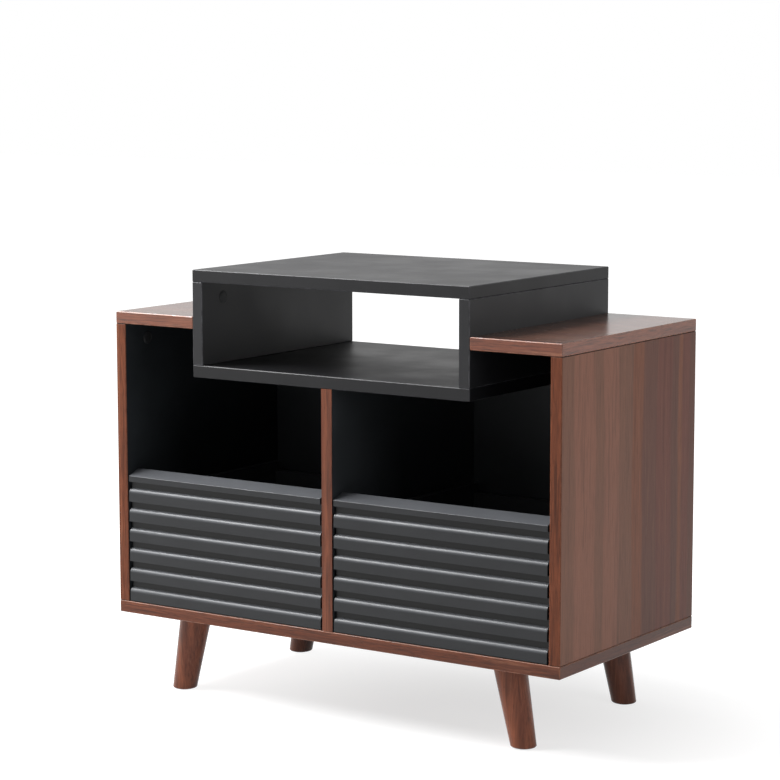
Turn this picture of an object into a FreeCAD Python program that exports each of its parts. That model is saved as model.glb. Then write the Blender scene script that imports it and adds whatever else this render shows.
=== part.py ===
"""Record cabinet: a walnut-faced board carcass on splayed round legs, with an open charcoal box let into
its top and two record drawers with ribbed fronts on three-part ball runners.

Millimetres. X runs across the cabinet, the front faces -Y, Z is up. The origin is on the floor, under the
middle.
"""

import FreeCAD
import Part

import math
import os

V = FreeCAD.Vector
LEFT, RIGHT = V(-1, 0, 0), V(1, 0, 0)
FORWARD, BACKWARD = V(0, -1, 0), V(0, 1, 0)
DOWN, UP = V(0, 0, -1), V(0, 0, 1)

# Carcass
cabinet_width = 820.0
cabinet_depth = 407.0
board = 19.0                # thickness of the carcass and box boards
side_height = 448.0         # side boards, between the bottom board and the top boards
leg_height = 124.0          # floor to the bottom board
arris = 1.0                 # chamfer on the boards' edges
edge_band = 1.0             # walnut strip glued on the divider's front edge

# Open box let into the top
box_width = 510.0
box_height = 168.0
box_rise = 73.5             # box top above the top boards

# Back panels, in rebates
back_panel = 5.0
rebate = 9.0                # how far a back panel laps each board
panel_gap = 0.25            # between a back panel and the wall of its rebate
panel_recess = 1.0          # back panels in from the boards' rear edges, for their screw heads

# Legs
front_leg_inset_x = 115.5   # cabinet side to the middle of a leg's top
front_leg_inset_y = 51.0    # cabinet front to the middle of a leg
rear_leg_inset_x = 119.5
rear_leg_inset_y = 45.0     # cabinet back to the middle of a leg
leg_splay = 25.0            # outward shift of the foot
leg_top_diameter = 50.5
leg_foot_diameter = 38.5
leg_foot_chamfer = 1.5
pad_diameter = 26.0
pad_thickness = 1.5         # felt, glued under the foot
leg_bolt_diameter = 8.0
leg_bolt_head_diameter = 15.0
leg_bolt_head = 2.5
leg_bolt_reach = 18.0       # bolt length inside the leg
insert_diameter = 12.0
insert_length = 20.0
leg_dowel_offset = 14.0     # locating dowel, beside the bolt

# Fittings
flat_width = 4.0            # round fittings are drawn with flats of about this width
least_flat_count = 6
fit = 0.15                  # clearance all round a bolt, dowel, screw or cam in its bore
fitting_inset = 55.0        # front or back edge to the nearest cam or screw
dowel_diameter = 8.0
dowel_in_face = 12.0
dowel_in_edge = 18.0
cam_setback = 27.0          # seam to the middle of a cam
cam_diameter = 15.0
cam_depth = 13.5
cam_bolt_thread = 11.0
cam_bolt_thread_diameter = 6.0
cam_bolt_head_diameter = 6.8
cap_diameter = 20.0
cap_thickness = 1.2
carcass_screw_length = 50.0
carcass_screw_diameter = 5.0
carcass_screw_head_diameter = 10.0
carcass_screw_head = 3.0

# Ribbed drawer fronts
front_gap = 3.0             # each side of a front
front_gap_below = 1.5
front_core = 17.0           # thickness behind the grooves
rib_depth = 6.5
top_rise = 9.5              # rise of a front's sloping upper edge, towards the drawer
top_slat_face = 9.0
rib_count = 6               # ribs under the top slat
rib_pitch = 32.25
rib_face = 18.85            # before its upper edge is rounded
rib_bevel = 2.6             # drop of a rib's sloping upper face
top_round = 0.8
rib_round = 8.0

# Drawer boxes
drawer_board = 12.0
drawer_side_height = 170.0
drawer_lift = 10.0          # drawer sides above the bottom board
drawer_back_drop = 15.0     # drawer back below the top of the sides
drawer_bottom = 9.0
drawer_bottom_lift = 12.0   # bottom panel above the lower edge of the sides
groove_depth = 5.0
groove_play = 0.2
drawer_cam_setback = 24.0
drawer_cam_diameter = 12.0
drawer_cam_depth = 9.5
drawer_cam_edge = 35.0      # cams from the upper and lower edges of a drawer side
drawer_screw_length = 40.0
drawer_screw_diameter = 4.0
drawer_screw_head_diameter = 8.0
drawer_screw_head = 3.0

# Ball runners
runner_step = 50.0          # ball runners are made in multiples of this length
runner_rear_gap = 10.0      # least room behind a runner
runner_height = 45.0
runner_thickness = 12.7     # cabinet side to drawer side
runner_steel = 1.2
runner_lift = 50.0          # drawer side's lower edge to the runner's middle
runner_ball = 3.0           # ball track between two members
outer_flange = 9.9          # depth of the outer member's flanges
middle_web = 3.0            # cabinet side to the middle member
middle_flange = 8.0
inner_flange = 7.2
cage_length = 100.0
cage_play = 0.25
cage_width = 3.6

# Levels and places that follow from the sizes above
front, back = -cabinet_depth / 2, cabinet_depth / 2
half_width = cabinet_width / 2
half_box = box_width / 2
bottom_top = leg_height + board
tops_under = bottom_top + side_height
tops_top = tops_under + board
box_top = tops_top + box_rise
box_under = box_top - box_height
panel_back = back - panel_recess
panel_face = panel_back - back_panel
fitting_rows = (front + fitting_inset, back - fitting_inset)
bay = (-half_width + board, -board / 2)
drawer_span = (bay[0] + runner_thickness, bay[1] - runner_thickness)
front_face_height = top_slat_face + rib_count * rib_pitch
drawer_start = front + front_core + rib_depth
runner_room = panel_face - runner_rear_gap - drawer_start
runner_length = runner_step * math.floor(runner_room / runner_step)
drawer_end = drawer_start + runner_length
drawer_under = bottom_top + drawer_lift
drawer_side_top = drawer_under + drawer_side_height
bottom_panel_under = drawer_under + drawer_bottom_lift
bottom_panel_top = bottom_panel_under + drawer_bottom
runner_z = drawer_under + runner_lift

nodes = {}
cuts = {}


def add(name, *solids):
    """Put solids into a named node."""
    nodes.setdefault(name, []).extend(solids)


def cut(name, *tools):
    """Note material to be taken out of a node's solids."""
    cuts.setdefault(name, []).extend(tools)


def block(x, y, z):
    """A box from a low and a high value along each axis."""
    return Part.makeBox(x[1] - x[0], y[1] - y[0], z[1] - z[0], V(x[0], y[0], z[0]))


def panel(x, y, z):
    """A board with its edges eased."""
    square = block(x, y, z)
    return square.makeChamfer(arris, square.Edges)


def flat_sided(start, axis, diameter, low, high, play=0.0):
    """A round fitting from low to high along its axis, with an even number of flats and play all round."""
    flats = max(least_flat_count, 2 * round(math.pi * diameter / flat_width / 2))
    half_angle = math.pi / flats
    radius = (diameter / 2 + play) / math.cos(half_angle)
    angles = [half_angle * (2 * turn + 1) for turn in range(flats)]
    corners = [V(radius * math.cos(angle), radius * math.sin(angle), low) for angle in angles]
    solid = Part.Face(Part.makePolygon(corners + corners[:1])).extrude(UP * (high - low))
    solid.Placement = FreeCAD.Placement(start, FreeCAD.Rotation(UP, axis))
    return solid


def stepped(start, axis, steps, play=0.0):
    """A fitting of (diameter, end) steps along its axis, or with play all round the bore that takes it."""
    pieces = []
    low = 0.0
    for diameter, high in steps:
        pieces.append(flat_sided(start, axis, diameter, low, high, play))
        low = high
    return pieces[0].fuse(pieces[1:]) if len(pieces) > 1 else pieces[0]


def plain(start, axis, diameter, length):
    """A fitting of one diameter."""
    return flat_sided(start, axis, diameter, 0, length)


def drill(start, axis, diameter, length):
    """The bore of a plain fitting, with the fit all round and its mouth at start."""
    return flat_sided(start, axis, diameter, 0, length, fit)


def mirrored(shape):
    """The same piece on the other side of the cabinet."""
    return shape.mirror(V(), RIGHT)


# Fittings ------------------------------------------------------------------------------------------

def cam_joint(group, carrier, mate, seam, into, face, thickness, setback, diameter, depth):
    """A cam lock that pulls the edge of one board against the face of another.

    seam is on the joint at the middle of the carrier's thickness, into points from there into the carrier,
    and face points to the side of the carrier that the cam is sunk into. The bolt's head ends in the cam.
    """
    surface = seam + into * setback + face * (thickness / 2)
    floor = surface - face * depth
    reach = setback + cam_bolt_head_diameter / 2
    thread_start = seam - into * cam_bolt_thread
    thread = (cam_bolt_thread_diameter, cam_bolt_thread)
    head = (cam_bolt_head_diameter, cam_bolt_thread + reach)
    passage = drill(seam, into, cam_bolt_head_diameter, reach)
    add(group + "cam_locks", plain(floor, face, diameter, depth).cut(passage))
    add(group + "cam_bolts", stepped(thread_start, into, [thread, head]))
    cut(carrier, drill(floor, face, diameter, depth), passage)
    cut(mate, drill(thread_start, into, cam_bolt_thread_diameter, cam_bolt_thread))
    return surface


def carcass_cam(carrier, mate, seam, into, face):
    """A carcass cam lock with its cover cap."""
    surface = cam_joint("", carrier, mate, seam, into, face, board, cam_setback, cam_diameter, cam_depth)
    add("cam_cover_caps", plain(surface, face, cap_diameter, cap_thickness))


def wood_dowel(carrier, mate, seam, into):
    """A dowel across a joint, deeper in the edge of the carrier than in the face of its mate."""
    start = seam - into * dowel_in_face
    add("wood_dowels", plain(start, into, dowel_diameter, dowel_in_face + dowel_in_edge))
    cut(carrier, drill(seam, into, dowel_diameter, dowel_in_edge))
    cut(mate, drill(start, into, dowel_diameter, dowel_in_face))


def carcass_screw(through, target, surface, axis):
    """A one-piece screw, its head flush in the first board and its thread in the edge of the second."""
    head, shank = (carcass_screw_head_diameter, carcass_screw_head), carcass_screw_diameter
    add("carcass_screws", stepped(surface, axis, [head, (shank, carcass_screw_length)]))
    cut(through, stepped(surface, axis, [head, (shank, board)], fit))
    cut(target, drill(surface + axis * board, axis, shank, carcass_screw_length - board))


def edge_joint(carrier, mate, x, z, into, face=None):
    """The fittings along a seam: a cam, or without a face a screw, near each end, and a dowel between."""
    for y in fitting_rows:
        seam = V(x, y, z)
        if face:
            carcass_cam(carrier, mate, seam, into, face)
        else:
            carcass_screw(mate, carrier, seam - into * board, into)
    wood_dowel(carrier, mate, V(x, (front + back) / 2, z), into)


# Carcass -------------------------------------------------------------------------------------------

def carcass():
    """The walnut boards, and the divider with its edge band."""
    depth = (front, back)
    add("bottom_board", panel((-half_width, half_width), depth, (leg_height, bottom_top)))
    side = panel((-half_width, -half_width + board), depth, (bottom_top, tops_under))
    top = panel((-half_width, -half_box), depth, (tops_under, tops_top))
    for name, shape in (("side_board", side), ("top_board", top)):
        add("left_" + name, shape)
        add("right_" + name, mirrored(shape))
    divider_front = front + edge_band
    middle = (-board / 2, board / 2)
    add("divider_board", block(middle, (divider_front, panel_face), (bottom_top, box_under)))
    add("divider_edge_band", block(middle, (front, divider_front), (bottom_top, box_under)))


def open_box():
    """The four boards of the box, open at the front and the back."""
    width, depth = (-half_box, half_box), (front, back)
    add("box_top_board", panel(width, depth, (box_top - board, box_top)))
    add("box_bottom_board", panel(width, depth, (box_under, box_under + board)))
    side = panel((-half_box, -half_box + board), depth, (box_under + board, box_top - board))
    add("box_left_side", side)
    add("box_right_side", mirrored(side))


def carcass_joints():
    """The fittings of every seam between boards."""
    side_x = half_width - board / 2
    box_side_x = half_box - board / 2
    top_z = tops_under + board / 2
    for hand, outward in (("left_", LEFT), ("right_", RIGHT)):
        sign, inward = outward.x, -outward
        side, top, box_side = hand + "side_board", hand + "top_board", "box_" + hand + "side"
        edge_joint(side, "bottom_board", sign * side_x, bottom_top, UP)
        edge_joint(side, top, sign * side_x, tops_under, DOWN, inward)
        edge_joint(top, box_side, sign * half_box, top_z, outward, DOWN)
        edge_joint(box_side, "box_top_board", sign * box_side_x, box_top - board, DOWN, inward)
        edge_joint(box_side, "box_bottom_board", sign * box_side_x, box_under + board, UP)
    edge_joint("divider_board", "bottom_board", 0, bottom_top, UP)
    edge_joint("divider_board", "box_bottom_board", 0, box_under, DOWN, LEFT)


def back_panels():
    """An L-shaped panel behind each bay, round the corner of the box, in rebates of the boards round it."""
    lap = rebate - panel_gap
    outer = -half_width + board - lap
    thick = (panel_face, panel_back)
    lower = block((outer, -panel_gap), thick, (bottom_top - lap, box_under - panel_gap))
    upper = block((outer, -half_box - panel_gap), thick, (bottom_top - lap, tops_under + lap))
    left_panel = lower.fuse(upper).removeSplitter()
    add("left_back_panel", left_panel)
    add("right_back_panel", mirrored(left_panel))
    reach = half_width - board + rebate
    recess = block((-reach, reach), (panel_face, back), (bottom_top - rebate, tops_under + rebate))
    cut("bottom_board", recess)
    for hand in ("left_", "right_"):
        cut(hand + "side_board", recess)
        cut(hand + "top_board", recess)


# Legs ----------------------------------------------------------------------------------------------

def leg(top, foot):
    """A turned, tapered leg leaning outward, cut level at the top and the foot."""
    axis = foot - top
    spare = leg_top_diameter * leg_splay / axis.Length
    slope = (leg_top_diameter - leg_foot_diameter) / 2 / axis.Length
    start = top - axis * (spare / axis.Length)
    radii = leg_top_diameter / 2 + slope * spare, leg_foot_diameter / 2 - slope * spare
    blank = Part.makeCone(radii[0], radii[1], axis.Length + 2 * spare, start, axis)
    reach = leg_top_diameter + leg_splay
    level = block((top.x - reach, top.x + reach), (top.y - reach, top.y + reach), (foot.z, top.z))
    shape = blank.common(level)
    foot_edge = min(shape.Edges, key=lambda edge: edge.BoundBox.ZMax)
    return shape.makeChamfer(leg_foot_chamfer, [foot_edge])


def leg_fixings(name, top, foot, inward):
    """Bolt down through the bottom board, insert and dowel in the leg's top, pad under its foot."""
    surface = top + UP * board
    head = (leg_bolt_head_diameter, leg_bolt_head)
    pin = top + inward * leg_dowel_offset
    add("leg_bolts", stepped(surface, DOWN, [head, (leg_bolt_diameter, board + leg_bolt_reach)]))
    cut("bottom_board", stepped(surface, DOWN, [head, (leg_bolt_diameter, board)], fit))
    threads = drill(top, DOWN, leg_bolt_diameter, leg_bolt_reach)
    add("leg_threaded_inserts", plain(top, DOWN, insert_diameter, insert_length).cut(threads))
    cut(name, drill(top, DOWN, insert_diameter, insert_length))
    pin_top = pin + UP * dowel_in_face
    add("leg_locating_dowels", plain(pin_top, DOWN, dowel_diameter, dowel_in_face + dowel_in_edge))
    cut("bottom_board", drill(pin_top, DOWN, dowel_diameter, dowel_in_face))
    cut(name, drill(pin, DOWN, dowel_diameter, dowel_in_edge))
    add("foot_pads", plain(foot, DOWN, pad_diameter, pad_thickness))


def legs():
    """Two pairs of legs, splayed to the sides."""
    for name, inset_x, y in (("front_legs", front_leg_inset_x, front + front_leg_inset_y),
                             ("rear_legs", rear_leg_inset_x, back - rear_leg_inset_y)):
        for outward in (LEFT, RIGHT):
            top = outward * (half_width - inset_x) + V(0, y, leg_height)
            foot = top + outward * leg_splay + DOWN * (leg_height - pad_thickness)
            add(name, leg(top, foot))
            leg_fixings(name, top, foot, -outward)


# Drawers, drawn for the left bay -------------------------------------------------------------------

def ribbed_front():
    """One milled board: a slat with a sloping upper edge, and under it ribs with a well rounded upper edge and
    a square undercut."""
    face, base = front, front + rib_depth
    z = bottom_top + front_gap_below + front_face_height
    top_crest, rib_crests = (face, z), []
    outline = [(drawer_start, z + top_rise), top_crest]
    z -= top_slat_face
    outline.append((face, z))
    for _ in range(rib_count):
        outline.append((base, z))
        z -= rib_pitch - rib_bevel - rib_face
        outline.append((base, z))
        z -= rib_bevel
        rib_crests.append((face, z))
        z -= rib_face
        outline += [rib_crests[-1], (face, z)]
    outline.append((drawer_start, z))
    low, high = bay[0] + front_gap, bay[1] - front_gap
    points = [V(low, y, height) for y, height in outline]
    solid = Part.Face(Part.makePolygon(points + points[:1])).extrude(RIGHT * (high - low))
    solid = solid.makeFillet(top_round, edges_along(solid, [top_crest]))
    return solid.makeFillet(rib_round, edges_along(solid, rib_crests))


def edges_along(solid, places):
    """The edges that run along X through the (y, z) places."""
    def found(edge):
        start, end = edge.Vertexes[0].Point, edge.Vertexes[-1].Point
        level = abs(start.x - end.x) > rib_pitch
        return level and any(math.hypot(start.y - y, start.z - z) < rib_round / 4 for y, z in places)
    return [edge for edge in solid.Edges if found(edge)]


def drawer_box():
    """The left drawer's boards. The bottom runs in grooves of the front and the sides, under the back."""
    low, high = drawer_span
    length = (drawer_start, drawer_end)
    heights = (drawer_under, drawer_side_top)
    inside = (low + drawer_board, high - drawer_board)
    back_y = (drawer_end - drawer_board, drawer_end)
    back_z = (bottom_panel_top, drawer_side_top - drawer_back_drop)
    tongue = groove_depth - groove_play
    bottom_x = (inside[0] - tongue, inside[1] + tongue)
    groove_x = (inside[0] - groove_depth, inside[1] + groove_depth)
    groove = block(groove_x, (drawer_start - groove_depth, drawer_end),
                   (bottom_panel_under, bottom_panel_top + groove_play))
    add("left_drawer_front", ribbed_front())
    add("left_drawer_left_side", block((low, inside[0]), length, heights))
    add("left_drawer_right_side", block((inside[1], high), length, heights))
    add("left_drawer_back", block(inside, back_y, back_z))
    add("left_drawer_bottom",
        block(bottom_x, (drawer_start - tongue, drawer_end), (bottom_panel_under, bottom_panel_top)))
    for name in ("left_drawer_front", "left_drawer_left_side", "left_drawer_right_side"):
        cut(name, groove)


def drawer_fittings():
    """Cams that draw the sides to the front, and screws through the sides into the back."""
    group = "left_drawer_"
    cam_heights = (bottom_panel_top + drawer_cam_edge, drawer_side_top - drawer_cam_edge)
    screw_heights = (cam_heights[0], cam_heights[1] - drawer_back_drop)
    head, shank = (drawer_screw_head_diameter, drawer_screw_head), drawer_screw_diameter
    for side, x, inward in (("left_side", drawer_span[0], RIGHT), ("right_side", drawer_span[1], LEFT)):
        for z in cam_heights:
            seam = V(x, drawer_start, z) + inward * (drawer_board / 2)
            cam_joint(group, group + side, group + "front", seam, BACKWARD, inward, drawer_board,
                      drawer_cam_setback, drawer_cam_diameter, drawer_cam_depth)
        for z in screw_heights:
            surface = V(x, drawer_end - drawer_board / 2, z)
            add(group + "screws", stepped(surface, inward, [head, (shank, drawer_screw_length)]))
            cut(group + side, stepped(surface, inward, [head, (shank, drawer_board)], fit))
            edge = surface + inward * drawer_board
            cut(group + "back", drill(edge, inward, shank, drawer_screw_length - drawer_board))


def channel(web, flange, height):
    """Outline of a C channel of runner steel, from where its web lies and its flanges' signed depth."""
    steel = math.copysign(runner_steel, flange)
    half = height / 2
    tip = web + flange
    return [(web, -half), (tip, -half), (tip, -half + runner_steel), (web + steel, -half + runner_steel),
            (web + steel, half - runner_steel), (tip, half - runner_steel), (tip, half), (web, half)]


def strip(near, low, high):
    """Outline of a ball cage from low to high, cage_width deep from near."""
    far = near + cage_width
    return [(near, low), (far, low), (far, high), (near, high)]


def ball_runners():
    """The two runners of the left drawer, channel in channel, with the ball cages in their tracks."""
    middle_height = runner_height - 2 * (runner_steel + runner_ball)
    inner_height = middle_height - 2 * (runner_steel + runner_ball)
    outer_track = (middle_height / 2 + cage_play, runner_height / 2 - runner_steel - cage_play)
    inner_track = (inner_height / 2 + cage_play, middle_height / 2 - runner_steel - cage_play)
    cages = (("outer", middle_web + runner_steel, outer_track),
             ("inner", runner_thickness - inner_flange + cage_play, inner_track))
    middle_y = (drawer_start + drawer_end) / 2
    whole, caged = (drawer_start, drawer_end), (middle_y - cage_length / 2, middle_y + cage_length / 2)
    for hand, wall, inward in (("left", bay[0], 1), ("right", bay[1], -1)):

        def run(outline, span):
            """An outline of (distance from the wall, height from the runner's middle), run along Y."""
            points = [V(wall + inward * away, span[0], runner_z + height) for away, height in outline]
            return Part.Face(Part.makePolygon(points + points[:1])).extrude(BACKWARD * (span[1] - span[0]))

        add("left_drawer_" + hand + "_outer_runner", run(channel(0, outer_flange, runner_height), whole))
        add("left_drawer_middle_runners", run(channel(middle_web, middle_flange, middle_height), whole))
        add("left_drawer_inner_runners", run(channel(runner_thickness, -inner_flange, inner_height), whole))
        for name, near, (low, high) in cages:
            for outline in (strip(near, low, high), strip(near, -high, -low)):
                add("left_drawer_" + name + "_ball_cages", run(outline, caged))


def swap_hands(name):
    """The node that mirrors a node of the left half."""
    swapped = {"left": "right", "right": "left"}
    return "_".join(swapped.get(word, word) for word in name.split("_"))


def right_drawer():
    """The right bay's drawer and runners, as mirror images of the left bay's."""
    for table, put in ((nodes, add), (cuts, cut)):
        for name in [name for name in table if name.startswith("left_drawer_")]:
            put(swap_hands(name), *[mirrored(shape) for shape in table[name]])


def export():
    """One STEP file per node, with its bores, pockets and grooves cut."""
    os.makedirs("parts", exist_ok=True)
    for name, shapes in nodes.items():
        tools = cuts.get(name)
        finished = [shape.cut(tools) if tools else shape for shape in shapes]
        solids = [solid for shape in finished for solid in shape.Solids]
        whole = solids[0] if len(solids) == 1 else Part.makeCompound(solids)
        whole.exportStep("parts/" + name + ".step")


carcass()
open_box()
carcass_joints()
back_panels()
legs()
drawer_box()
drawer_fittings()
ball_runners()
right_drawer()
export()
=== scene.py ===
"""Looks of the record cabinet: materials, small fittings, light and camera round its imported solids. Metres, in the
solids' frame."""

import math

import bmesh
import bpy
from mathutils import Euler, Matrix, Vector

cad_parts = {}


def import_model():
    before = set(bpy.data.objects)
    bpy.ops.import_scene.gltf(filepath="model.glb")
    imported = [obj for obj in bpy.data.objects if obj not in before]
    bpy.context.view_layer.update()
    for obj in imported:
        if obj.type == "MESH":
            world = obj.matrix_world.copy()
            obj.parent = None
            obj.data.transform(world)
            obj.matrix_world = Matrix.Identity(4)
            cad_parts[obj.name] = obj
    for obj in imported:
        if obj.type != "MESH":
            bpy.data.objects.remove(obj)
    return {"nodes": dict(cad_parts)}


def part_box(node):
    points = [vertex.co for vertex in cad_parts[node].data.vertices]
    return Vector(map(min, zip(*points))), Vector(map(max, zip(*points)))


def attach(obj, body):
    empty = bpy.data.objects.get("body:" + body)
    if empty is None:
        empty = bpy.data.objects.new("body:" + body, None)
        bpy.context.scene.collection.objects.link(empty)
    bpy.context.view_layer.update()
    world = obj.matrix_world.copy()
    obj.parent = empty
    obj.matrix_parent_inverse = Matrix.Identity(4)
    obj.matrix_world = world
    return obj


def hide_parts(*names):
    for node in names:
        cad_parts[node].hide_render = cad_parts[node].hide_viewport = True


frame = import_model()
bpy.context.view_layer.update()

NODES = frame["nodes"]
X, Y, Z = 0, 1, 2
HANDS = ("left", "right")
MM = 0.001

# Camera, as fitted to the photograph
camera_yaw, camera_pitch = 34.20, 7.618         # degrees to the right of the front, and above the horizon
camera_roll = -0.066
camera_target = Vector((-0.0140, -0.0122, 0.4918))
camera_distance = 4.0436
camera_lens, camera_sensor = 118.97, 36.0       # millimetres
camera_reach = 100.0        # far limit of the view


# Shader trees -------------------------------------------------------------------------------------

EVEN = (1, 1, 1)            # stretch of a noise that is as long as it is wide
NOISE_SPAN = (0.3, 0.7)     # values that most of a noise lies between
square_on = 0.9             # how squarely a face looks along an axis, at least, to count as facing it
arris_least, arris_most = 0.6 * MM, 1.6 * MM    # width of the worn strip along an arris


def srgb(red, green, blue):
    """A colour given by its 0-255 values in a picture, as a shader takes it."""
    def linear(value):
        value /= 255
        return value / 12.92 if value <= 0.04045 else ((value + 0.055) / 1.055) ** 2.4
    return linear(red), linear(green), linear(blue), 1.0


def tinted(colour, factor):
    """A colour made lighter or darker."""
    return tuple(min(1.0, factor * value) for value in colour[:3]) + (1.0,)


class Tree:
    """A material's or the world's node tree, with short ways to add nodes to it."""

    def __init__(self, owner):
        owner.use_nodes = True
        self.tree = owner.node_tree
        self.tree.nodes.clear()

    def add(self, kind, inputs=None, **settings):
        """A node. An input that is given a socket is linked, and one that is given a value is set."""
        node = self.tree.nodes.new("ShaderNode" + kind)
        for name, value in settings.items():
            setattr(node, name, value)
        for name, value in (inputs or {}).items():
            if isinstance(value, bpy.types.NodeSocket):
                self.tree.links.new(value, node.inputs[name])
            else:
                node.inputs[name].default_value = value
        return node

    def calc(self, operation, *values):
        """The result of a math node."""
        return self.add("Math", dict(enumerate(values)), operation=operation).outputs[0]

    def vector(self, operation, *values):
        """The vector result of a vector math node."""
        return self.add("VectorMath", dict(enumerate(values)), operation=operation).outputs[0]

    def noise(self, space, stretch, scale, detail, roughness):
        """Noise from 0 to 1, with its features stretched by the given factors along X, Y and Z."""
        squeezed = self.vector("MULTIPLY", space, tuple(1 / factor for factor in stretch))
        return self.add("TexNoise", {"Vector": squeezed, "Scale": scale, "Detail": detail,
                                     "Roughness": roughness}).outputs[0]

    def fit(self, value, low, high, to_low=0.0, to_high=1.0):
        """A value carried from one range to another, smoothly and without leaving it."""
        limits = {"From Min": low, "From Max": high, "To Min": to_low, "To Max": to_high}
        return self.add("MapRange", {"Value": value, **limits}, interpolation_type="SMOOTHSTEP").outputs[0]

    def mix(self, factor, first, second):
        """Two colours mixed."""
        return self.add("Mix", {0: factor, 6: first, 7: second}, data_type="RGBA").outputs[2]

    def blend(self, factor, first, second):
        """Two values mixed."""
        return self.add("Mix", {0: factor, 2: first, 3: second}).outputs[0]

    def ramp(self, factor, *stops):
        """A colour ramp through (position, colour) stops."""
        node = self.add("ValToRGB", {0: factor})
        elements = node.color_ramp.elements
        while len(elements) < len(stops):
            elements.new(0.5)
        for element, (position, colour) in zip(elements, stops):
            element.position, element.color = position, colour
        return node.outputs[0]

    def bump(self, height, strength, distance):
        """A normal from a height."""
        return self.add("Bump", {"Height": height, "Strength": strength, "Distance": distance}).outputs[0]


def finished(name, build):
    """A material whose surface is the Principled shader with the inputs that build(tree) returns."""
    material = bpy.data.materials.new(name)
    tree = Tree(material)
    shader = tree.add("BsdfPrincipled", build(tree))
    tree.add("OutputMaterial", {"Surface": shader.outputs[0]})
    return material


def place(tree):
    """Object coordinates in metres."""
    return tree.add("TexCoord").outputs["Object"]


def facing(tree, axis):
    """How squarely a face looks along an axis, from -1 to 1."""
    return tree.add("SeparateXYZ", {0: tree.add("TexCoord").outputs["Normal"]}).outputs[axis]


def arris_wear(tree, name):
    """1 along the worn arrises of a node that is a plain board, and 0 on its faces."""
    spot = tree.add("SeparateXYZ", {0: place(tree)})
    low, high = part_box(name)
    gaps = []
    for axis in (X, Y, Z):
        middle, half = (low[axis] + high[axis]) / 2, (high[axis] - low[axis]) / 2
        off_middle = tree.calc("ABSOLUTE", tree.calc("SUBTRACT", spot.outputs[axis], middle))
        gaps.append(tree.calc("SUBTRACT", half, off_middle))
    nearer, farther = tree.calc("MINIMUM", gaps[0], gaps[1]), tree.calc("MAXIMUM", gaps[0], gaps[1])
    second = tree.calc("MAXIMUM", nearer, tree.calc("MINIMUM", farther, gaps[2]))
    rub = tree.noise(place(tree), EVEN, 70, 3, 0.6)
    return tree.calc("LESS_THAN", second, tree.fit(rub, 0.35, 0.7, arris_least, arris_most))


# Walnut -------------------------------------------------------------------------------------------

GREY, TAN, PLUM = srgb(127, 87, 69), srgb(143, 96, 77), srgb(116, 68, 55)
AMBER, UMBER = srgb(131, 80, 57), srgb(108, 69, 56)
DARK_VEIN, LIGHT_VEIN, PORE = srgb(62, 38, 30), srgb(156, 104, 78), srgb(40, 24, 20)
BAND, BAND_DARK, SEAM = srgb(121, 69, 48), srgb(99, 54, 37), srgb(30, 20, 17)

# Tones of a sliced leaf of veneer, by the noise that lays them side by side
SLICED_LEAF = ((0.36, GREY), (0.42, PLUM), (0.455, PLUM), (0.47, TAN), (0.53, TAN), (0.545, GREY),
               (0.60, GREY), (0.62, AMBER))

# Leaf of veneer on the side boards: where each tone starts, as a share of the depth from the front
SIDE_LEAF = ((0.0, GREY), (0.10, TAN), (0.24, GREY), (0.30, TAN), (0.41, GREY), (0.52, AMBER),
             (0.60, UMBER), (0.71, PLUM), (0.82, UMBER), (0.87, AMBER), (0.90, PLUM), (0.96, UMBER))
leaf_blend = 0.012          # width of the step between two of them, as a share of the depth

# Figures of the grain: how far they are stretched along it, their scale, detail and roughness
BANDS, VEINS, STREAKS = (60, 26, 2, 0.5), (40, 150, 3, 0.55), (22, 330, 2, 0.5)
FIBRE, PORES = (20, 620, 3, 0.6), (20, 1500, 1, 0.5)
SWAY, RIPPLE = (4, 5, 1, 0.5), (3, 28, 2, 0.5)
LEAF_DRIFT = ((1, 1, 3), 9, 2, 0.5)
sway_width, ripple_width = 12 * MM, 9 * MM      # how far the grain wanders to its sides
seed_step = (1.7, 3.1, 2.3)                     # metres from one board's grain to the next one's

edge_contrast, face_contrast, leg_contrast = 1.2, 0.45, 0.9     # of the veins
end_grain_from = 0.75       # how squarely a face looks along the grain, at least, to show another way of it
seam_height = 0.8 * MM      # dark line where an upright board meets the next one
level_wear, upright_wear, wear_roughness = 0.55, 0.2, 0.15      # of a worn arris
level_relief, upright_relief, grain_depth = 0.05, 0.2, 0.2 * MM     # of the pores and fibres
walnut_roughness = (0.20, 0.28)


def figure(tree, space, kind):
    """Noise of one of the kinds above, stretched along the grain."""
    stretch, *rest = kind
    return tree.noise(space, (stretch, 1, 1), *rest)


def wander(tree, space, kind, width):
    """A way to the side, from minus to plus half a width, that changes slowly along the grain."""
    return tree.calc("MULTIPLY", tree.calc("SUBTRACT", figure(tree, space, kind), 0.5), width)


def grain_space(tree, grain, end_grain, seed):
    """Coordinates whose X runs along the grain, which is one axis of the piece, or another one on the faces
    that the first points out of."""
    position = tree.add("SeparateXYZ", {0: place(tree)})
    rest = [axis for axis in (X, Y, Z) if axis != grain]
    end_rest = [axis for axis in (X, Y, Z) if axis != end_grain]
    spaces = []
    for axes in ((grain, *rest), (end_grain, *end_rest)):
        turned = {i: position.outputs[axis] for i, axis in enumerate(axes)}
        spaces.append(tree.add("CombineXYZ", turned).outputs[0])
    at_end = tree.calc("GREATER_THAN", tree.calc("ABSOLUTE", facing(tree, grain)), end_grain_from)
    space = tree.add("Mix", {0: at_end, 4: spaces[0], 5: spaces[1]}, data_type="VECTOR").outputs[1]
    sway = tree.calc("ADD", wander(tree, space, SWAY, sway_width), wander(tree, space, RIPPLE, ripple_width))
    bent = tree.vector("ADD", space, tree.add("CombineXYZ", {1: sway, 2: sway}).outputs[0])
    return tree.vector("ADD", bent, tuple(step * seed for step in seed_step))


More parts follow.
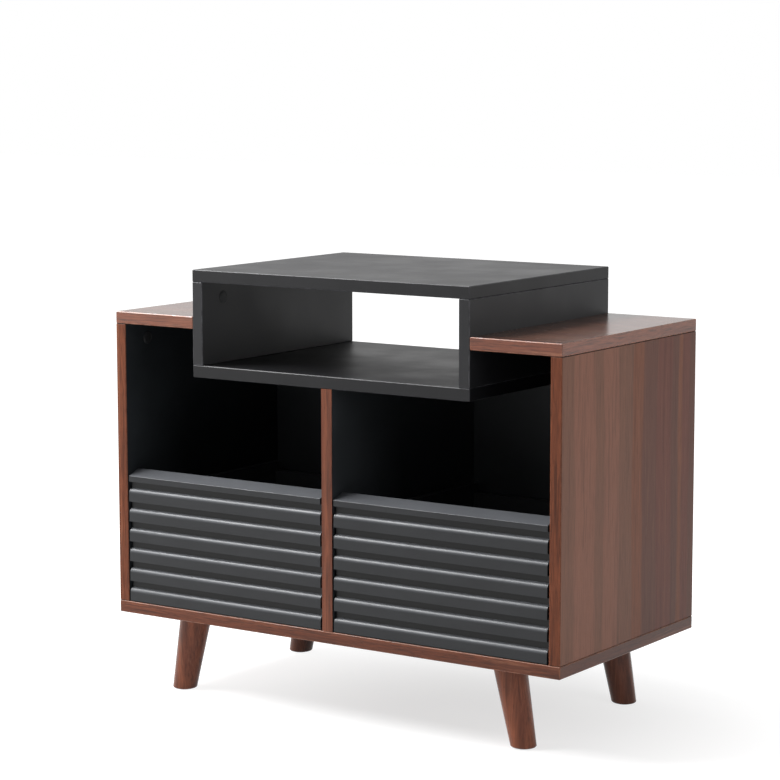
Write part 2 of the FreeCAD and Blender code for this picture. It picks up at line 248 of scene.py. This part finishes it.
def leaf_tones(tree, name, painted_face_light):
    """The tones of a side board's leaf of veneer, in bands from its front to its back."""
    low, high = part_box(name)
    across = tree.add("SeparateXYZ", {0: place(tree)}).outputs[Y]
    drift = tree.noise(place(tree), *LEAF_DRIFT)
    share = tree.calc("DIVIDE", tree.calc("SUBTRACT", across, low[Y]), high[Y] - low[Y])
    share = tree.calc("ADD", share, tree.fit(drift, *NOISE_SPAN, -leaf_blend, leaf_blend))
    stops = []
    for i, (start, tone) in enumerate(SIDE_LEAF):
        if i:
            stops.append((start, tinted(tone, painted_face_light)))
        end = SIDE_LEAF[i + 1][0] - leaf_blend if i + 1 < len(SIDE_LEAF) else 1.0
        stops.append((end, tinted(tone, painted_face_light)))
    return tree.ramp(share, *stops)


def walnut(tree, name, grain, end_grain, seed, thickness, leaf, painted_band_light, painted_face_light):
    """Colour, roughness and height of walnut, redder on the edge bands of a board that is thin along an axis."""
    space = grain_space(tree, grain, end_grain, seed)
    bands, veins, streaks, fibre = (figure(tree, space, kind) for kind in (BANDS, VEINS, STREAKS, FIBRE))
    pores = tree.fit(figure(tree, space, PORES), 0.64, 0.76)
    # Painted light and shade: each piece's edge band and faces are made lighter or darker for how that piece is lit
    pale, deep = tinted(BAND, painted_band_light), tinted(BAND_DARK, painted_band_light)
    band = tree.ramp(bands, (0.38, deep), (0.46, pale), (0.54, pale), (0.62, deep))
    if thickness is None:
        colour, contrast = band, leg_contrast
    else:
        if leaf:
            face = leaf_tones(tree, name, painted_face_light)
        else:
            face = tree.ramp(bands, *((start, tinted(tone, painted_face_light)) for start, tone in SLICED_LEAF))
        on_face = tree.calc("GREATER_THAN", tree.calc("ABSOLUTE", facing(tree, thickness)), square_on)
        colour = tree.mix(on_face, band, face)
        contrast = tree.blend(on_face, edge_contrast, face_contrast)
    # Marks, the range of their noise, how strong they are at its low and high end, and their colour
    for marks, span, strengths, tone in (
        (veins, (0.54, 0.68), (0.0, 0.55), DARK_VEIN),
        (veins, (0.30, 0.42), (0.45, 0.0), LIGHT_VEIN),
        (streaks, (0.52, 0.66), (0.0, 0.40), DARK_VEIN),
        (fibre, NOISE_SPAN, (0.0, 0.38), DARK_VEIN),
        (pores, (0.0, 1.0), (0.0, 0.5), PORE),
    ):
        share = tree.calc("MULTIPLY", tree.fit(marks, *span, *strengths), contrast)
        colour = tree.mix(share, colour, tone)
    roughness = tree.fit(fibre, 0.2, 0.8, *walnut_roughness)
    height = tree.calc("SUBTRACT", tree.calc("MULTIPLY", fibre, 0.5), pores)
    return colour, roughness, height


def seam(tree, name):
    """1 at the upper and lower ends of an upright board, where it meets the next one."""
    low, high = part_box(name)
    level = tree.add("SeparateXYZ", {0: place(tree)}).outputs[Z]
    off_middle = tree.calc("ABSOLUTE", tree.calc("SUBTRACT", level, (low[Z] + high[Z]) / 2))
    return tree.calc("GREATER_THAN", off_middle, (high[Z] - low[Z]) / 2 - seam_height)


def walnut_material(name, seed, grain, end_grain, thickness, black_side, leaf, painted_band_light, painted_face_light, level):
    """Lacquered walnut for a node. A board has a thickness axis, may show a leaf of wide bands on its faces, and
    may have black melamine on the face that looks along black_side, an (axis, sign)."""
    wear, relief = (level_wear, level_relief) if thickness == Z else (upright_wear, upright_relief)

    def build(tree):
        colour, roughness, height = walnut(tree, name, grain, end_grain, seed, thickness, leaf, painted_band_light,
                                           painted_face_light)
        if thickness is not None:
            worn = arris_wear(tree, name)
            colour = tree.mix(tree.calc("MULTIPLY", worn, wear), colour, LIGHT_VEIN)
            if thickness == X:
                colour = tree.mix(seam(tree, name), colour, SEAM)
            roughness = tree.calc("ADD", roughness, tree.calc("MULTIPLY", worn, wear_roughness))
        if black_side:
            axis, sign = black_side
            inside = tree.calc("GREATER_THAN", tree.calc("MULTIPLY", facing(tree, axis), sign), square_on)
            black, black_roughness, pebble = melamine(tree, BLACK)
            colour = tree.mix(inside, colour, black)
            roughness = tree.blend(inside, roughness, black_roughness)
            height = tree.blend(inside, height, pebble)
        return {"Base Color": colour, "Roughness": roughness, "Specular IOR Level": level,
                "Normal": tree.bump(height, relief, grain_depth)}
    return finished("walnut_" + name, build)


# Board faces, lacquer, metal and plastic ----------------------------------------------------------

BLACK, DRAWER_GREY, LACQUER = srgb(44, 47, 50), srgb(48, 49, 52), srgb(38, 39, 41)
RUNNER, ZINC, CASTING = srgb(158, 160, 163), srgb(170, 170, 167), srgb(150, 150, 150)
SCREW, CAM = srgb(160, 160, 156), srgb(150, 151, 152)
BALL, CAGE = srgb(214, 216, 218), srgb(216, 214, 208)
BEECH, CAP, FELT = srgb(205, 170, 125), srgb(27, 28, 30), srgb(72, 66, 60)
pearl_tone, arris_wear_highlight_tone, arris_wear_highlight_share = 1.5, 6.0, 0.6       # melamine's bright specks, and its arrises, paler as wear and as a painted highlight
groove_shade_tone, crest_highlight_tone = 0.1, 4.0                      # lacquer darker deep in the grooves as painted shade, and lighter on the crests as a painted highlight
groove_from, groove_to = 3 * MM, 6 * MM                 # behind the front plane
melamine_roughness, lacquer_roughness = (0.38, 0.5), (0.33, 0.41)
melamine_level, lacquer_level, box_level = 0.5, 0.25, 0.25      # specular levels

# Bumps: strength and depth
MELAMINE_BUMP, LACQUER_BUMP = (0.15, 0.1 * MM), (0.2, 0.15 * MM)
METAL_BUMP, PLAIN_BUMP = (0.1, 0.05 * MM), (0.2, 0.1 * MM)

# Walnut pieces: grain, grain on the end faces, axis of the thickness, face in black as (axis, sign), whether a
# leaf of wide bands shows, tones of the edge band and of the faces, specular level. The tones are painted light and
# shade: the same walnut made lighter or darker piece by piece for how each piece is lit.
WALNUT_PIECES = {
    "bottom_board": (X, Y, Z, None, False, 1.0, 1.0, 0.2),
    "left_side_board": (Z, Y, X, (X, 1), True, 0.98, 0.72, 0.1),
    "right_side_board": (Z, Y, X, (X, -1), True, 0.98, 1.08, 0.1),
    "left_top_board": (X, Y, Z, (Z, -1), False, 1.1, 0.32, 0.5),
    "right_top_board": (X, Y, Z, (Z, -1), False, 1.6, 0.40, 0.45),
    "divider_edge_band": (Z, X, None, None, False, 1.1, 1.0, 0.2),
    "front_legs": (Z, X, None, None, False, 1.45, 1.0, 0.2),
    "rear_legs": (Z, X, None, None, False, 0.95, 1.0, 0.2),
}

# Charcoal boards of the box: one melamine in four tones, which are painted light and shade, the right side darker than
# the left and the top and bottom darkest
BOX_BOARDS = {"box_top_board": srgb(19, 19, 21), "box_bottom_board": srgb(16, 16, 18),
              "box_left_side": srgb(33, 33, 35), "box_right_side": srgb(29, 29, 31)}


def melamine(tree, colour):
    """Colour, roughness and height of a melamine face with a fine pearl."""
    space = place(tree)
    cloud = tree.noise(space, EVEN, 9, 4, 0.6)
    pebble = tree.noise(space, EVEN, 900, 2, 0.5)
    tone = tree.mix(tree.fit(cloud, *NOISE_SPAN), tinted(colour, 0.88), tinted(colour, 1.12))
    tone = tree.mix(tree.fit(pebble, 0.55, 0.75, 0.0, 0.35), tone, tinted(colour, pearl_tone))
    gloss = tree.calc("ADD", cloud, tree.calc("MULTIPLY", pebble, 0.3))
    return tone, tree.fit(gloss, 0.3, 0.9, *melamine_roughness), pebble


def melamine_material(name, colour, board=None, level=melamine_level):
    """Melamine-faced board, a little paler along the arrises of the named one, as wear and as a painted highlight."""
    def build(tree):
        tone, roughness, pebble = melamine(tree, colour)
        if board:
            # Paler arrises: part wear, part painted highlight
            worn = tree.calc("MULTIPLY", arris_wear(tree, board), arris_wear_highlight_share)
            tone = tree.mix(worn, tone, tinted(colour, arris_wear_highlight_tone))
        return {"Base Color": tone, "Roughness": roughness, "Specular IOR Level": level,
                "Normal": tree.bump(pebble, *MELAMINE_BUMP)}
    return finished(name, build)


def lacquer_material(name, colour, front_plane):
    """Satin lacquer on milled fibre board: faint lengthwise marks of the cutter, a painted highlight on the up-facing
    crests of the ribs, and painted shade in the grooves behind the front plane."""
    def build(tree):
        space = place(tree)
        cutter = tree.noise(space, (60, 1, 1), 700, 3, 0.6)
        cloud = tree.noise(space, (3, 1, 1), 30, 4, 0.6)
        peel = tree.noise(space, EVEN, 420, 2, 0.5)
        tone = tree.mix(tree.fit(cloud, *NOISE_SPAN), tinted(colour, 0.9), tinted(colour, 1.1))
        # Painted shade: the lacquer is darker deep in the grooves, behind the front plane
        depth = tree.calc("SUBTRACT", tree.add("SeparateXYZ", {0: space}).outputs[Y], front_plane)
        tone = tree.mix(tree.fit(depth, groove_from, groove_to), tone, tinted(colour, groove_shade_tone))
        # Painted highlight: the lacquer is lighter where it faces up, on the crests of the ribs
        crest = tree.fit(facing(tree, Z), 0.0, 0.5)
        painted_crest_highlight = tree.calc("MULTIPLY", crest, tree.fit(cloud, 0.25, 0.75, 0.85, 1.0))
        tone = tree.mix(painted_crest_highlight, tone, tinted(colour, crest_highlight_tone))
        return {"Base Color": tone, "Roughness": tree.fit(cutter, 0.25, 0.75, *lacquer_roughness),
                "Specular IOR Level": lacquer_level,
                "Normal": tree.bump(tree.calc("ADD", cutter, peel), *LACQUER_BUMP)}
    return finished(name, build)


def metal_material(name, colour, roughness, stretch=EVEN):
    """Zinc-plated or cast metal, with drawing marks if it is stretched."""
    def build(tree):
        space = place(tree)
        marks = tree.noise(space, stretch, 600, 3, 0.6)
        spangle = tree.fit(tree.noise(space, EVEN, 120, 3, 0.6), *NOISE_SPAN)
        return {"Base Color": tree.mix(spangle, tinted(colour, 0.86), colour), "Metallic": 1.0,
                "Roughness": tree.fit(marks, 0.25, 0.75, roughness - 0.08, roughness + 0.1),
                "Normal": tree.bump(marks, *METAL_BUMP)}
    return finished(name, build)


def plain_material(name, colour, roughness, scale):
    """Moulded plastic, felt or raw wood with a fine surface."""
    def build(tree):
        speck = tree.noise(place(tree), EVEN, scale, 3, 0.6)
        return {"Base Color": tree.mix(tree.fit(speck, *NOISE_SPAN), tinted(colour, 0.7), colour),
                "Roughness": tree.fit(speck, 0.2, 0.8, roughness - 0.08, min(1.0, roughness + 0.08)),
                "Normal": tree.bump(speck, *PLAIN_BUMP)}
    return finished(name, build)


def dress(material, *names):
    """Gives nodes a material."""
    for name in names:
        slots = NODES[name].data.materials
        slots.clear()
        slots.append(material)


def dress_boards():
    """Walnut, black and charcoal on the boards and legs."""
    for seed, (name, looks) in enumerate(WALNUT_PIECES.items(), 1):
        dress(walnut_material(name, seed, *looks), name)
    dress(melamine_material("black_melamine", BLACK), "divider_board")
    dress(melamine_material("black_hardboard", BLACK), "left_back_panel", "right_back_panel")
    # Each box board's tone is painted light and shade
    for board, tone in BOX_BOARDS.items():
        dress(melamine_material("charcoal_" + board, tone, board, box_level), board)


def dress_drawers():
    """Lacquer on the fronts, board and steel behind them."""
    lacquer = lacquer_material("charcoal_lacquer", LACQUER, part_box("left_drawer_front")[0][Y])
    inside = melamine_material("grey_melamine", DRAWER_GREY)
    runner = metal_material("runner_steel", RUNNER, 0.36, (1, 40, 1))
    for hand in HANDS:
        drawer = hand + "_drawer_"
        dress(lacquer, drawer + "front")
        dress(inside, *(drawer + board for board in ("left_side", "right_side", "back", "bottom")))
        dress(runner, *(drawer + member for member in ("left_outer_runner", "right_outer_runner",
                                                       "middle_runners", "inner_runners")))


def dress_fittings():
    """Metal, beech and felt on the fittings that keep their solids."""
    dress(metal_material("zinc_steel", ZINC, 0.3), "cam_bolts", "leg_bolts", "leg_threaded_inserts",
          *(hand + "_drawer_cam_bolts" for hand in HANDS))
    dress(metal_material("zinc_casting", CASTING, 0.42), "cam_locks")
    dress(plain_material("beech", BEECH, 0.6, 250), "wood_dowels", "leg_locating_dowels")
    dress(plain_material("felt", FELT, 0.95, 900), "foot_pads")


# Small fittings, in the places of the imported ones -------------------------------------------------

round_segments, small_segments = 32, 20
sharp_angle, ball_angle = 30, 80        # degrees between faces from which an edge is sharp
digits = 6                              # decimals of a metre that tell one place from another

# Turned forms from the foot up, as shares of their radius and height (of the diameter, for a wood screw's head)
CAP_PROFILE = ((1, 0), (1, 0.35), (0.96, 0.7), (0.84, 0.75), (0.80, 0.5), (0.76, 0.8), (0.5, 0.94), (0.2, 1))
CAM_PROFILE = ((0.96, 0), (1, 0.05), (1, 0.93), (0.94, 0.98), (0.82, 0.98), (0.78, 0.9), (0.70, 0.9))
HEAD_PROFILE = ((0.98, -0.06), (1, -0.03), (0.97, 0))
FLAT_HEAD_PROFILE = ((1, 0), (1, 0.5), (0.88, 1))
head_cone = 0.3             # depth of a wood screw's head, as a share of its diameter

# Cross recesses: reach and width as shares of the head's diameter, or of the cam's radius, and depth as a share of
# the wood screw's diameter, or of the flat head's or the cam's height
SCREW_RECESS, FLAT_RECESS, CAM_RECESS = (0.27, 0.12, 0.22), (0.3, 0.12, 0.6), (0.55, 0.2, 0.25)
recess_taper = 0.6          # size of a recess at its bottom
cam_face = 0.9              # height of a cam's face inside its rim

# Screws: diameters of head and shank, or diameter and height of a flat head
CARCASS_SCREW, DRAWER_SCREW = (9.6 * MM, 4.8 * MM), (7.6 * MM, 3.8 * MM)
INNER_SCREW, OUTER_SCREW, PANEL_SCREW = (7 * MM, 1.5 * MM), (7 * MM, 1.2 * MM), (6.5 * MM, 0.9 * MM)
thread_pitch, thread_height, thread_segments, thread_steps = 3.0 * MM, 0.8 * MM, 10, 3
thread_sharpness = 3        # the ridge takes up two shares of the pitch out of this many
point_slope, point_share = 10, 0.15     # narrowing towards the point, and the radius that is left there
runner_screw_rows = (-0.140, -0.012, 0.132)
runner_web = 1.2 * MM
panel_screw_pitch, panel_screw_inset = 0.135, 4.5 * MM

# Ball cages
ball_diameter, ball_pitch = 2.9 * MM, 7.2 * MM
retainer_thickness, retainer_bevel = 1.1 * MM, 0.2 * MM

SCREW_STEEL = metal_material("screw_zinc", SCREW, 0.34)
CAST_ZINC = metal_material("cast_zinc", CAM, 0.45)
BALL_STEEL = metal_material("ball_steel", BALL, 0.15)
RETAINER = plain_material("retainer_plastic", CAGE, 0.4, 1200)


def solid_boxes(name):
    """The lowest and highest corners of each separate solid of a node."""
    mesh = NODES[name].data
    spots = [tuple(round(value, digits) for value in vertex.co) for vertex in mesh.vertices]
    owner = {spot: spot for spot in spots}

    def root(spot):
        while owner[spot] != spot:
            spot = owner[spot]
        return spot

    for polygon in mesh.polygons:
        first, *others = (spots[index] for index in polygon.vertices)
        for other in others:
            owner[root(other)] = root(first)
    groups = {}
    for spot in owner:
        groups.setdefault(root(spot), []).append(spot)
    return sorted((Vector(map(min, zip(*group))), Vector(map(max, zip(*group)))) for group in groups.values())


def centre_of(box):
    """The middle between two corners."""
    return (Vector(box[0]) + Vector(box[1])) / 2


def drawer_middle(drawer):
    """The middle of a drawer along X."""
    return centre_of(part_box(drawer + "front"))[X]


def turned_to(outward, foot):
    """Carries a form that stands on its own XY plane to a foot, with its top looking outward."""
    return Matrix.Translation(foot) @ Vector(outward).to_track_quat("Z", "Y").to_matrix().to_4x4()


def lathe(form, where, profile, segments=round_segments, capped=True):
    """Adds a turned form, given by the radius and height of its rings from the foot up. Returns its top ring."""
    rings = []
    for radius, height in profile:
        turns = (2 * math.pi * step / segments for step in range(segments))
        rings.append([form.verts.new(where @ Vector((radius * math.cos(turn), radius * math.sin(turn), height)))
                      for turn in turns])
    for lower, upper in zip(rings, rings[1:]):
        for step in range(segments):
            after = (step + 1) % segments
            form.faces.new((lower[step], lower[after], upper[after], upper[step]))
    form.faces.new(reversed(rings[0]))
    if capped:
        form.faces.new(rings[-1])
    return rings[-1]


def scaled(profile, radius, height):
    """A profile in metres, from one in shares."""
    return [(across * radius, up * height) for across, up in profile]


def cross_recess(form, where, rim, height, reach, width, depth):
    """Closes a turned form's top ring with a flat face that has a cross-shaped recess for a screwdriver."""
    half = width / 2
    corner = ((reach, -half), (reach, half), (half, half))
    outline = []
    for quarter in range(4):
        turn = Matrix.Rotation(quarter * math.pi / 2, 2)
        outline += [turn @ Vector(point) for point in corner]
    upper = [form.verts.new(where @ Vector((x, y, height))) for x, y in outline]
    lower = [form.verts.new(where @ Vector((recess_taper * x, recess_taper * y, height - depth))) for x, y in outline]
    count = len(outline)
    for step in range(count):
        after = (step + 1) % count
        form.faces.new((upper[after], upper[step], lower[step], lower[after]))
    form.faces.new(lower)
    edges = []
    for loop in (rim, upper):
        for first, second in zip(loop, loop[1:] + loop[:1]):
            edges.append(form.edges.get((first, second)) or form.edges.new((first, second)))
    bmesh.ops.triangle_fill(form, edges=edges, use_beauty=True)


def thread(form, where, radius, start, length):
    """Adds a screw's shank with a raised thread, which runs out in a point."""
    rows = round(length / thread_pitch * thread_steps)
    rings = []
    for row in range(rows + 1):
        height = start - length * row / rows
        taper = min(1.0, point_slope * (1 - row / rows) + point_share)
        ring = []
        for step in range(thread_segments):
            phase = (height / thread_pitch + step / thread_segments) % 1
            crest = max(0.0, 1 - thread_sharpness * abs(phase - 0.5))
            out = taper * (radius - thread_height + thread_height * crest)
            turn = 2 * math.pi * step / thread_segments
            ring.append(form.verts.new(where @ Vector((out * math.cos(turn), out * math.sin(turn), height))))
        rings.append(ring)
    for upper, lower in zip(rings, rings[1:]):
        for step in range(thread_segments):
            after = (step + 1) % thread_segments
            form.faces.new((lower[step], lower[after], upper[after], upper[step]))
    form.faces.new(rings[0])
    form.faces.new(reversed(rings[-1]))


def piece(name, form, material, slot, body, *nodes, smooth=sharp_angle):
    """Makes a finished piece of a form, on a body, in the places of the given nodes."""
    bmesh.ops.recalc_face_normals(form, faces=form.faces)
    mesh = bpy.data.meshes.new(name)
    form.to_mesh(mesh)
    form.free()
    mesh.materials.append(material)
    mesh.shade_smooth()
    mesh.set_sharp_from_angle(angle=math.radians(smooth))
    made = bpy.data.objects.new(name, mesh)
    bpy.context.scene.collection.objects.link(made)
    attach(made, body)
    if nodes:
        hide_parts(*nodes)


def cover_caps():
    """Black push-in caps over the carcass cams, each with a flat rim, a ring groove and a slightly domed middle."""
    form = bmesh.new()
    cams = [centre_of(box) for box in solid_boxes("cam_locks")]
    for box in solid_boxes("cam_cover_caps"):
        middle, size = centre_of(box), box[1] - box[0]
        cam = min(cams, key=lambda spot: (spot - middle).length)
        axis = min((X, Y, Z), key=lambda way: size[way])
        outward = Vector((0, 0, 0))
        outward[axis] = math.copysign(1, (middle - cam)[axis])
        where = turned_to(outward, middle - outward * size[axis] / 2)
        lathe(form, where, scaled(CAP_PROFILE, max(size) / 2, size[axis]))
    piece("cover_caps", form, plain_material("cap_plastic", CAP, 0.6, 900), "black_cap", "cabinet",
          "cam_cover_caps")


def wood_screw(form, where, head, shank, length):
    """A countersunk wood screw with a cross recess, its head's face at height 0 and its point down."""
    profile = [(shank / 2, -head_cone * head)] + scaled(HEAD_PROFILE, head / 2, head)
    rim = lathe(form, where, profile, capped=False)
    cross_recess(form, where, rim, 0, *(share * head for share in SCREW_RECESS))
    thread(form, where, shank / 2, -head_cone * head, length - head_cone * head)


def wood_screws(name, node, body, outward_of, head, shank):
    """The wood screws of a node, each with its head towards outward_of(its middle)."""
    form = bmesh.new()
    for box in solid_boxes(node):
        middle, length = centre_of(box), max(box[1] - box[0])
        outward = Vector(outward_of(middle))
        wood_screw(form, turned_to(outward, middle + outward * length / 2), head, shank, length)
    piece(name, form, SCREW_STEEL, "zinc_steel", body, node)


def drawer_cams(drawer):
    """Round cams in the inner faces of the drawer's sides, with a rim and a cross recess."""
    form = bmesh.new()
    reach, width, depth = CAM_RECESS
    for box in solid_boxes(drawer + "cam_locks"):
        middle, size = centre_of(box), box[1] - box[0]
        outward = Vector((math.copysign(1, drawer_middle(drawer) - middle[X]), 0, 0))
        where = turned_to(outward, middle - outward * size[X] / 2)
        radius, top = size[Z] / 2, size[X]
        rim = lathe(form, where, scaled(CAM_PROFILE, radius, top), capped=False)
        cross_recess(form, where, rim, cam_face * top, reach * radius, width * radius, depth * top)
    piece(drawer + "cams", form, CAST_ZINC, "zinc_casting", drawer[:-1], drawer + "cam_locks")


def ball_cages(drawer, member):
    """A retainer strip in each ball track, with its row of steel balls."""
    node, body = f"{drawer}{member}_ball_cages", f"{drawer}{member}_cages"
    strips, balls = bmesh.new(), bmesh.new()
    for low, high in solid_boxes(node):
        middle, size = (low + high) / 2, high - low
        scale = Matrix.Diagonal((size[X], size[Y], retainer_thickness, 1))
        bmesh.ops.create_cube(strips, size=1, matrix=Matrix.Translation(middle) @ scale)
        count = math.floor((size[Y] - ball_pitch) / ball_pitch) + 1
        for step in range(count):
            along = ball_pitch * (step - (count - 1) / 2)
            bmesh.ops.create_icosphere(balls, subdivisions=2, radius=ball_diameter / 2,
                                       matrix=Matrix.Translation(middle + Vector((0, along, 0))))
    bmesh.ops.bevel(strips, geom=strips.edges, offset=retainer_bevel, segments=2, affect="EDGES")
    piece(node[:-1] + "_retainers", strips, RETAINER, "ball_cage", body, node)
    piece(node[:-1] + "_balls", balls, BALL_STEEL, "ball_cage", body, node, smooth=ball_angle)


def flat_head(form, foot, outward, diameter, height):
    """The flat head of a small screw, with a cross recess, on a face."""
    where = turned_to(outward, foot)
    reach, width, depth = FLAT_RECESS
    rim = lathe(form, where, scaled(FLAT_HEAD_PROFILE, diameter / 2, height), small_segments, capped=False)
    cross_recess(form, where, rim, height, reach * diameter, width * diameter, depth * height)


def runner_screws(drawer):
    """Screw heads on the webs of the drawer's inner runners and of the cabinet's outer runners."""
    for member, body, boxes, sign, screw in (
        ("inner", drawer[:-1], solid_boxes(drawer + "inner_runners"), 1, INNER_SCREW),
        ("outer", "cabinet", [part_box(f"{drawer}{hand}_outer_runner") for hand in HANDS], -1, OUTER_SCREW),
    ):
        form = bmesh.new()
        for low, high in (map(Vector, box) for box in boxes):
            middle = (low + high) / 2
            outward = sign * math.copysign(1, middle[X] - drawer_middle(drawer))
            web = middle[X] - outward * ((high - low)[X] / 2 - runner_web)
            for along in runner_screw_rows:
                flat_head(form, Vector((web, middle[Y] + along, middle[Z])), (outward, 0, 0), *screw)
        piece(f"{drawer}{member}_runner_screws", form, SCREW_STEEL, "zinc_steel", body)


def spread(first, last):
    """Places from first to last, evenly, about a screw pitch apart."""
    count = max(1, round(abs(last - first) / panel_screw_pitch))
    return [first + (last - first) * step / count for step in range(count + 1)]


def back_panel_screws():
    """Screw heads along the edges of the back panels."""
    form = bmesh.new()
    box_low = Vector(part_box("box_bottom_board")[0])
    for hand, side in (("left", -1), ("right", 1)):
        low, high = map(Vector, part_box(hand + "_back_panel"))
        outer = (low if side < 0 else high)[X] - side * panel_screw_inset
        inner = (high if side < 0 else low)[X] + side * panel_screw_inset
        bottom, top = low[Z] + panel_screw_inset, high[Z] - panel_screw_inset
        box_edge = side * (abs(box_low[X]) - panel_screw_inset)
        box_under = box_low[Z] + panel_screw_inset
        spots = {(outer, z) for z in spread(bottom, top)}
        spots |= {(x, bottom) for x in spread(outer, inner)}
        spots |= {(inner, z) for z in spread(bottom, box_under)}
        spots |= {(x, box_under) for x in spread(inner, box_edge)}
        spots |= {(box_edge, z) for z in spread(box_under, top)}
        spots |= {(x, top) for x in spread(box_edge, outer)}
        for x, z in sorted({(round(x, digits), round(z, digits)) for x, z in spots}):
            flat_head(form, Vector((x, high[Y], z)), (0, 1, 0), *PANEL_SCREW)
    piece("back_panel_screws", form, SCREW_STEEL, "zinc_steel", "cabinet")


def fittings():
    """All the small fittings."""
    cover_caps()
    wood_screws("wood_screws", "carcass_screws", "cabinet", lambda middle: (0, 0, -1), *CARCASS_SCREW)
    back_panel_screws()
    for hand in HANDS:
        drawer = hand + "_drawer_"
        middle_x = drawer_middle(drawer)
        wood_screws(drawer + "wood_screws", drawer + "screws", drawer[:-1],
                    lambda middle: (math.copysign(1, middle[X] - middle_x), 0, 0), *DRAWER_SCREW)
        drawer_cams(drawer)
        runner_screws(drawer)
        for member in ("outer", "inner"):
            ball_cages(drawer, member)


# Stage --------------------------------------------------------------------------------------------

floor_size = 30.0
floor_white = 0.5           # of the floor that lights the object from below
floor_glow, floor_shade = 0.67, 0.3     # of the floor that is seen: its own light, at its dimmest near the cabinet where it paints a shadow, and how much the lamps add
# Middle of the painted shadow: the floor's own light is dimmest here
painted_shadow_middle = (0.14, -0.05, 0.0)
floor_fade = (0.05, 0.7)    # distances from there over which its own light goes up to plain white, so that a soft painted shadow lies round the middle
ambient_left, ambient_right = 0.30, 0.06

# Lamps: position, target, width, height, radiance and degrees turned about the axis
SOFTBOXES = {
    "softbox_above": ((-0.6, 0.2, 2.1), (0, 0, 0.3), 1.6, 1.2, 1.2, 0),
    "softbox_strip": ((-1.1, -0.8, 1.75), (-0.1, -0.2, 0.25), 1.2, 0.8, 8.0, 0),
    "softbox_long": ((-3.6, -1.9, 4.9), (0, -0.2, 0.3), 3.5, 1.6, 29.0, -35),
    "softbox_low": ((-2.6, -1.5, 0.8), (0, -0.1, 0.2), 1.6, 1.2, 2.0, 0),
    "softbox_right": ((2.3, -0.5, 1.0), (0.4, 0, 0.35), 1.2, 1.2, 3.0, 0),
}


def seen(tree):
    """1 where a ray comes from the camera, a reflection or through glass, and 0 for the light that falls on things."""
    path = tree.add("LightPath").outputs
    return tree.calc("MAXIMUM", path["Is Camera Ray"], tree.calc("MAXIMUM", path["Is Glossy Ray"],
                                                                path["Is Transmission Ray"]))


def floor():
    """A wide white floor that shows the cabinet's soft shadow, deepened by a painted shadow where its own light is
    dimmed near the cabinet.
    """
    bpy.ops.mesh.primitive_plane_add(size=floor_size)
    plane = bpy.context.object
    plane.name = "floor"
    material = bpy.data.materials.new("floor_white")
    tree = Tree(material)
    lit = tree.add("BsdfDiffuse", {"Color": (floor_white, floor_white, floor_white, 1)})
    shade = tree.add("BsdfDiffuse", {"Color": (floor_shade, floor_shade, floor_shade, 1)})
    far = tree.add("VectorMath", {0: place(tree), 1: painted_shadow_middle}, operation="DISTANCE").outputs["Value"]
    # Painted shadow: the floor's own light is weaker near the cabinet
    glow = tree.add("Emission", {"Color": (1, 1, 1, 1), "Strength": tree.fit(far, *floor_fade, floor_glow, 1.0)})
    shown = tree.add("AddShader", {0: shade.outputs[0], 1: glow.outputs[0]})
    both = tree.add("MixShader", {0: seen(tree), 1: lit.outputs[0], 2: shown.outputs[0]})
    tree.add("OutputMaterial", {"Surface": both.outputs[0]})
    plane.data.materials.append(material)


def world():
    """Soft light from all round, stronger from the left, seen as plain white."""
    bpy.context.scene.world = bpy.data.worlds.new("studio")
    tree = Tree(bpy.context.scene.world)
    sideways = tree.add("SeparateXYZ", {0: tree.add("TexCoord").outputs["Generated"]}).outputs[X]
    light = tree.add("Background", {"Color": (1, 1, 1, 1),
                                    "Strength": tree.fit(sideways, -1, 1, ambient_left, ambient_right)})
    white = tree.add("Background", {"Color": (1, 1, 1, 1), "Strength": 1.0})
    both = tree.add("MixShader", {0: seen(tree), 1: light.outputs[0], 2: white.outputs[0]})
    tree.add("OutputWorld", {"Surface": both.outputs[0]})


def softbox(name, position, target, width, height, radiance, roll):
    """A rectangular lamp of a given radiance, which is how bright it shows in a reflection."""
    data = bpy.data.lights.new(name, "AREA")
    data.shape, data.size, data.size_y = "RECTANGLE", width, height
    data.energy = radiance * math.pi * width * height
    lamp = bpy.data.objects.new(name, data)
    lamp.location = position
    aim = (Vector(target) - Vector(position)).to_track_quat("-Z", "Y").to_matrix()
    lamp.rotation_euler = (aim @ Matrix.Rotation(math.radians(roll), 3, "Z")).to_euler()
    bpy.context.scene.collection.objects.link(lamp)


def camera():
    """The photograph's camera."""
    yaw, pitch = math.radians(camera_yaw), math.radians(camera_pitch)
    data = bpy.data.cameras.new("camera")
    data.lens, data.sensor_width = camera_lens, camera_sensor
    data.clip_end = camera_reach
    eye = bpy.data.objects.new("camera", data)
    back = Vector((math.sin(yaw) * math.cos(pitch), -math.cos(yaw) * math.cos(pitch), math.sin(pitch)))
    eye.location = camera_target + back * camera_distance
    level = Euler((math.pi / 2 - pitch, 0, yaw)).to_matrix()
    eye.rotation_euler = (level @ Matrix.Rotation(math.radians(camera_roll), 3, "Z")).to_euler()
    bpy.context.scene.collection.objects.link(eye)
    bpy.context.scene.camera = eye


dress_boards()
dress_drawers()
dress_fittings()
fittings()
floor()
world()
for lamp_name, values in SOFTBOXES.items():
    softbox(lamp_name, *values)
camera()
bpy.context.scene.view_settings.view_transform = "Standard"

bpy.context.view_layer.update()
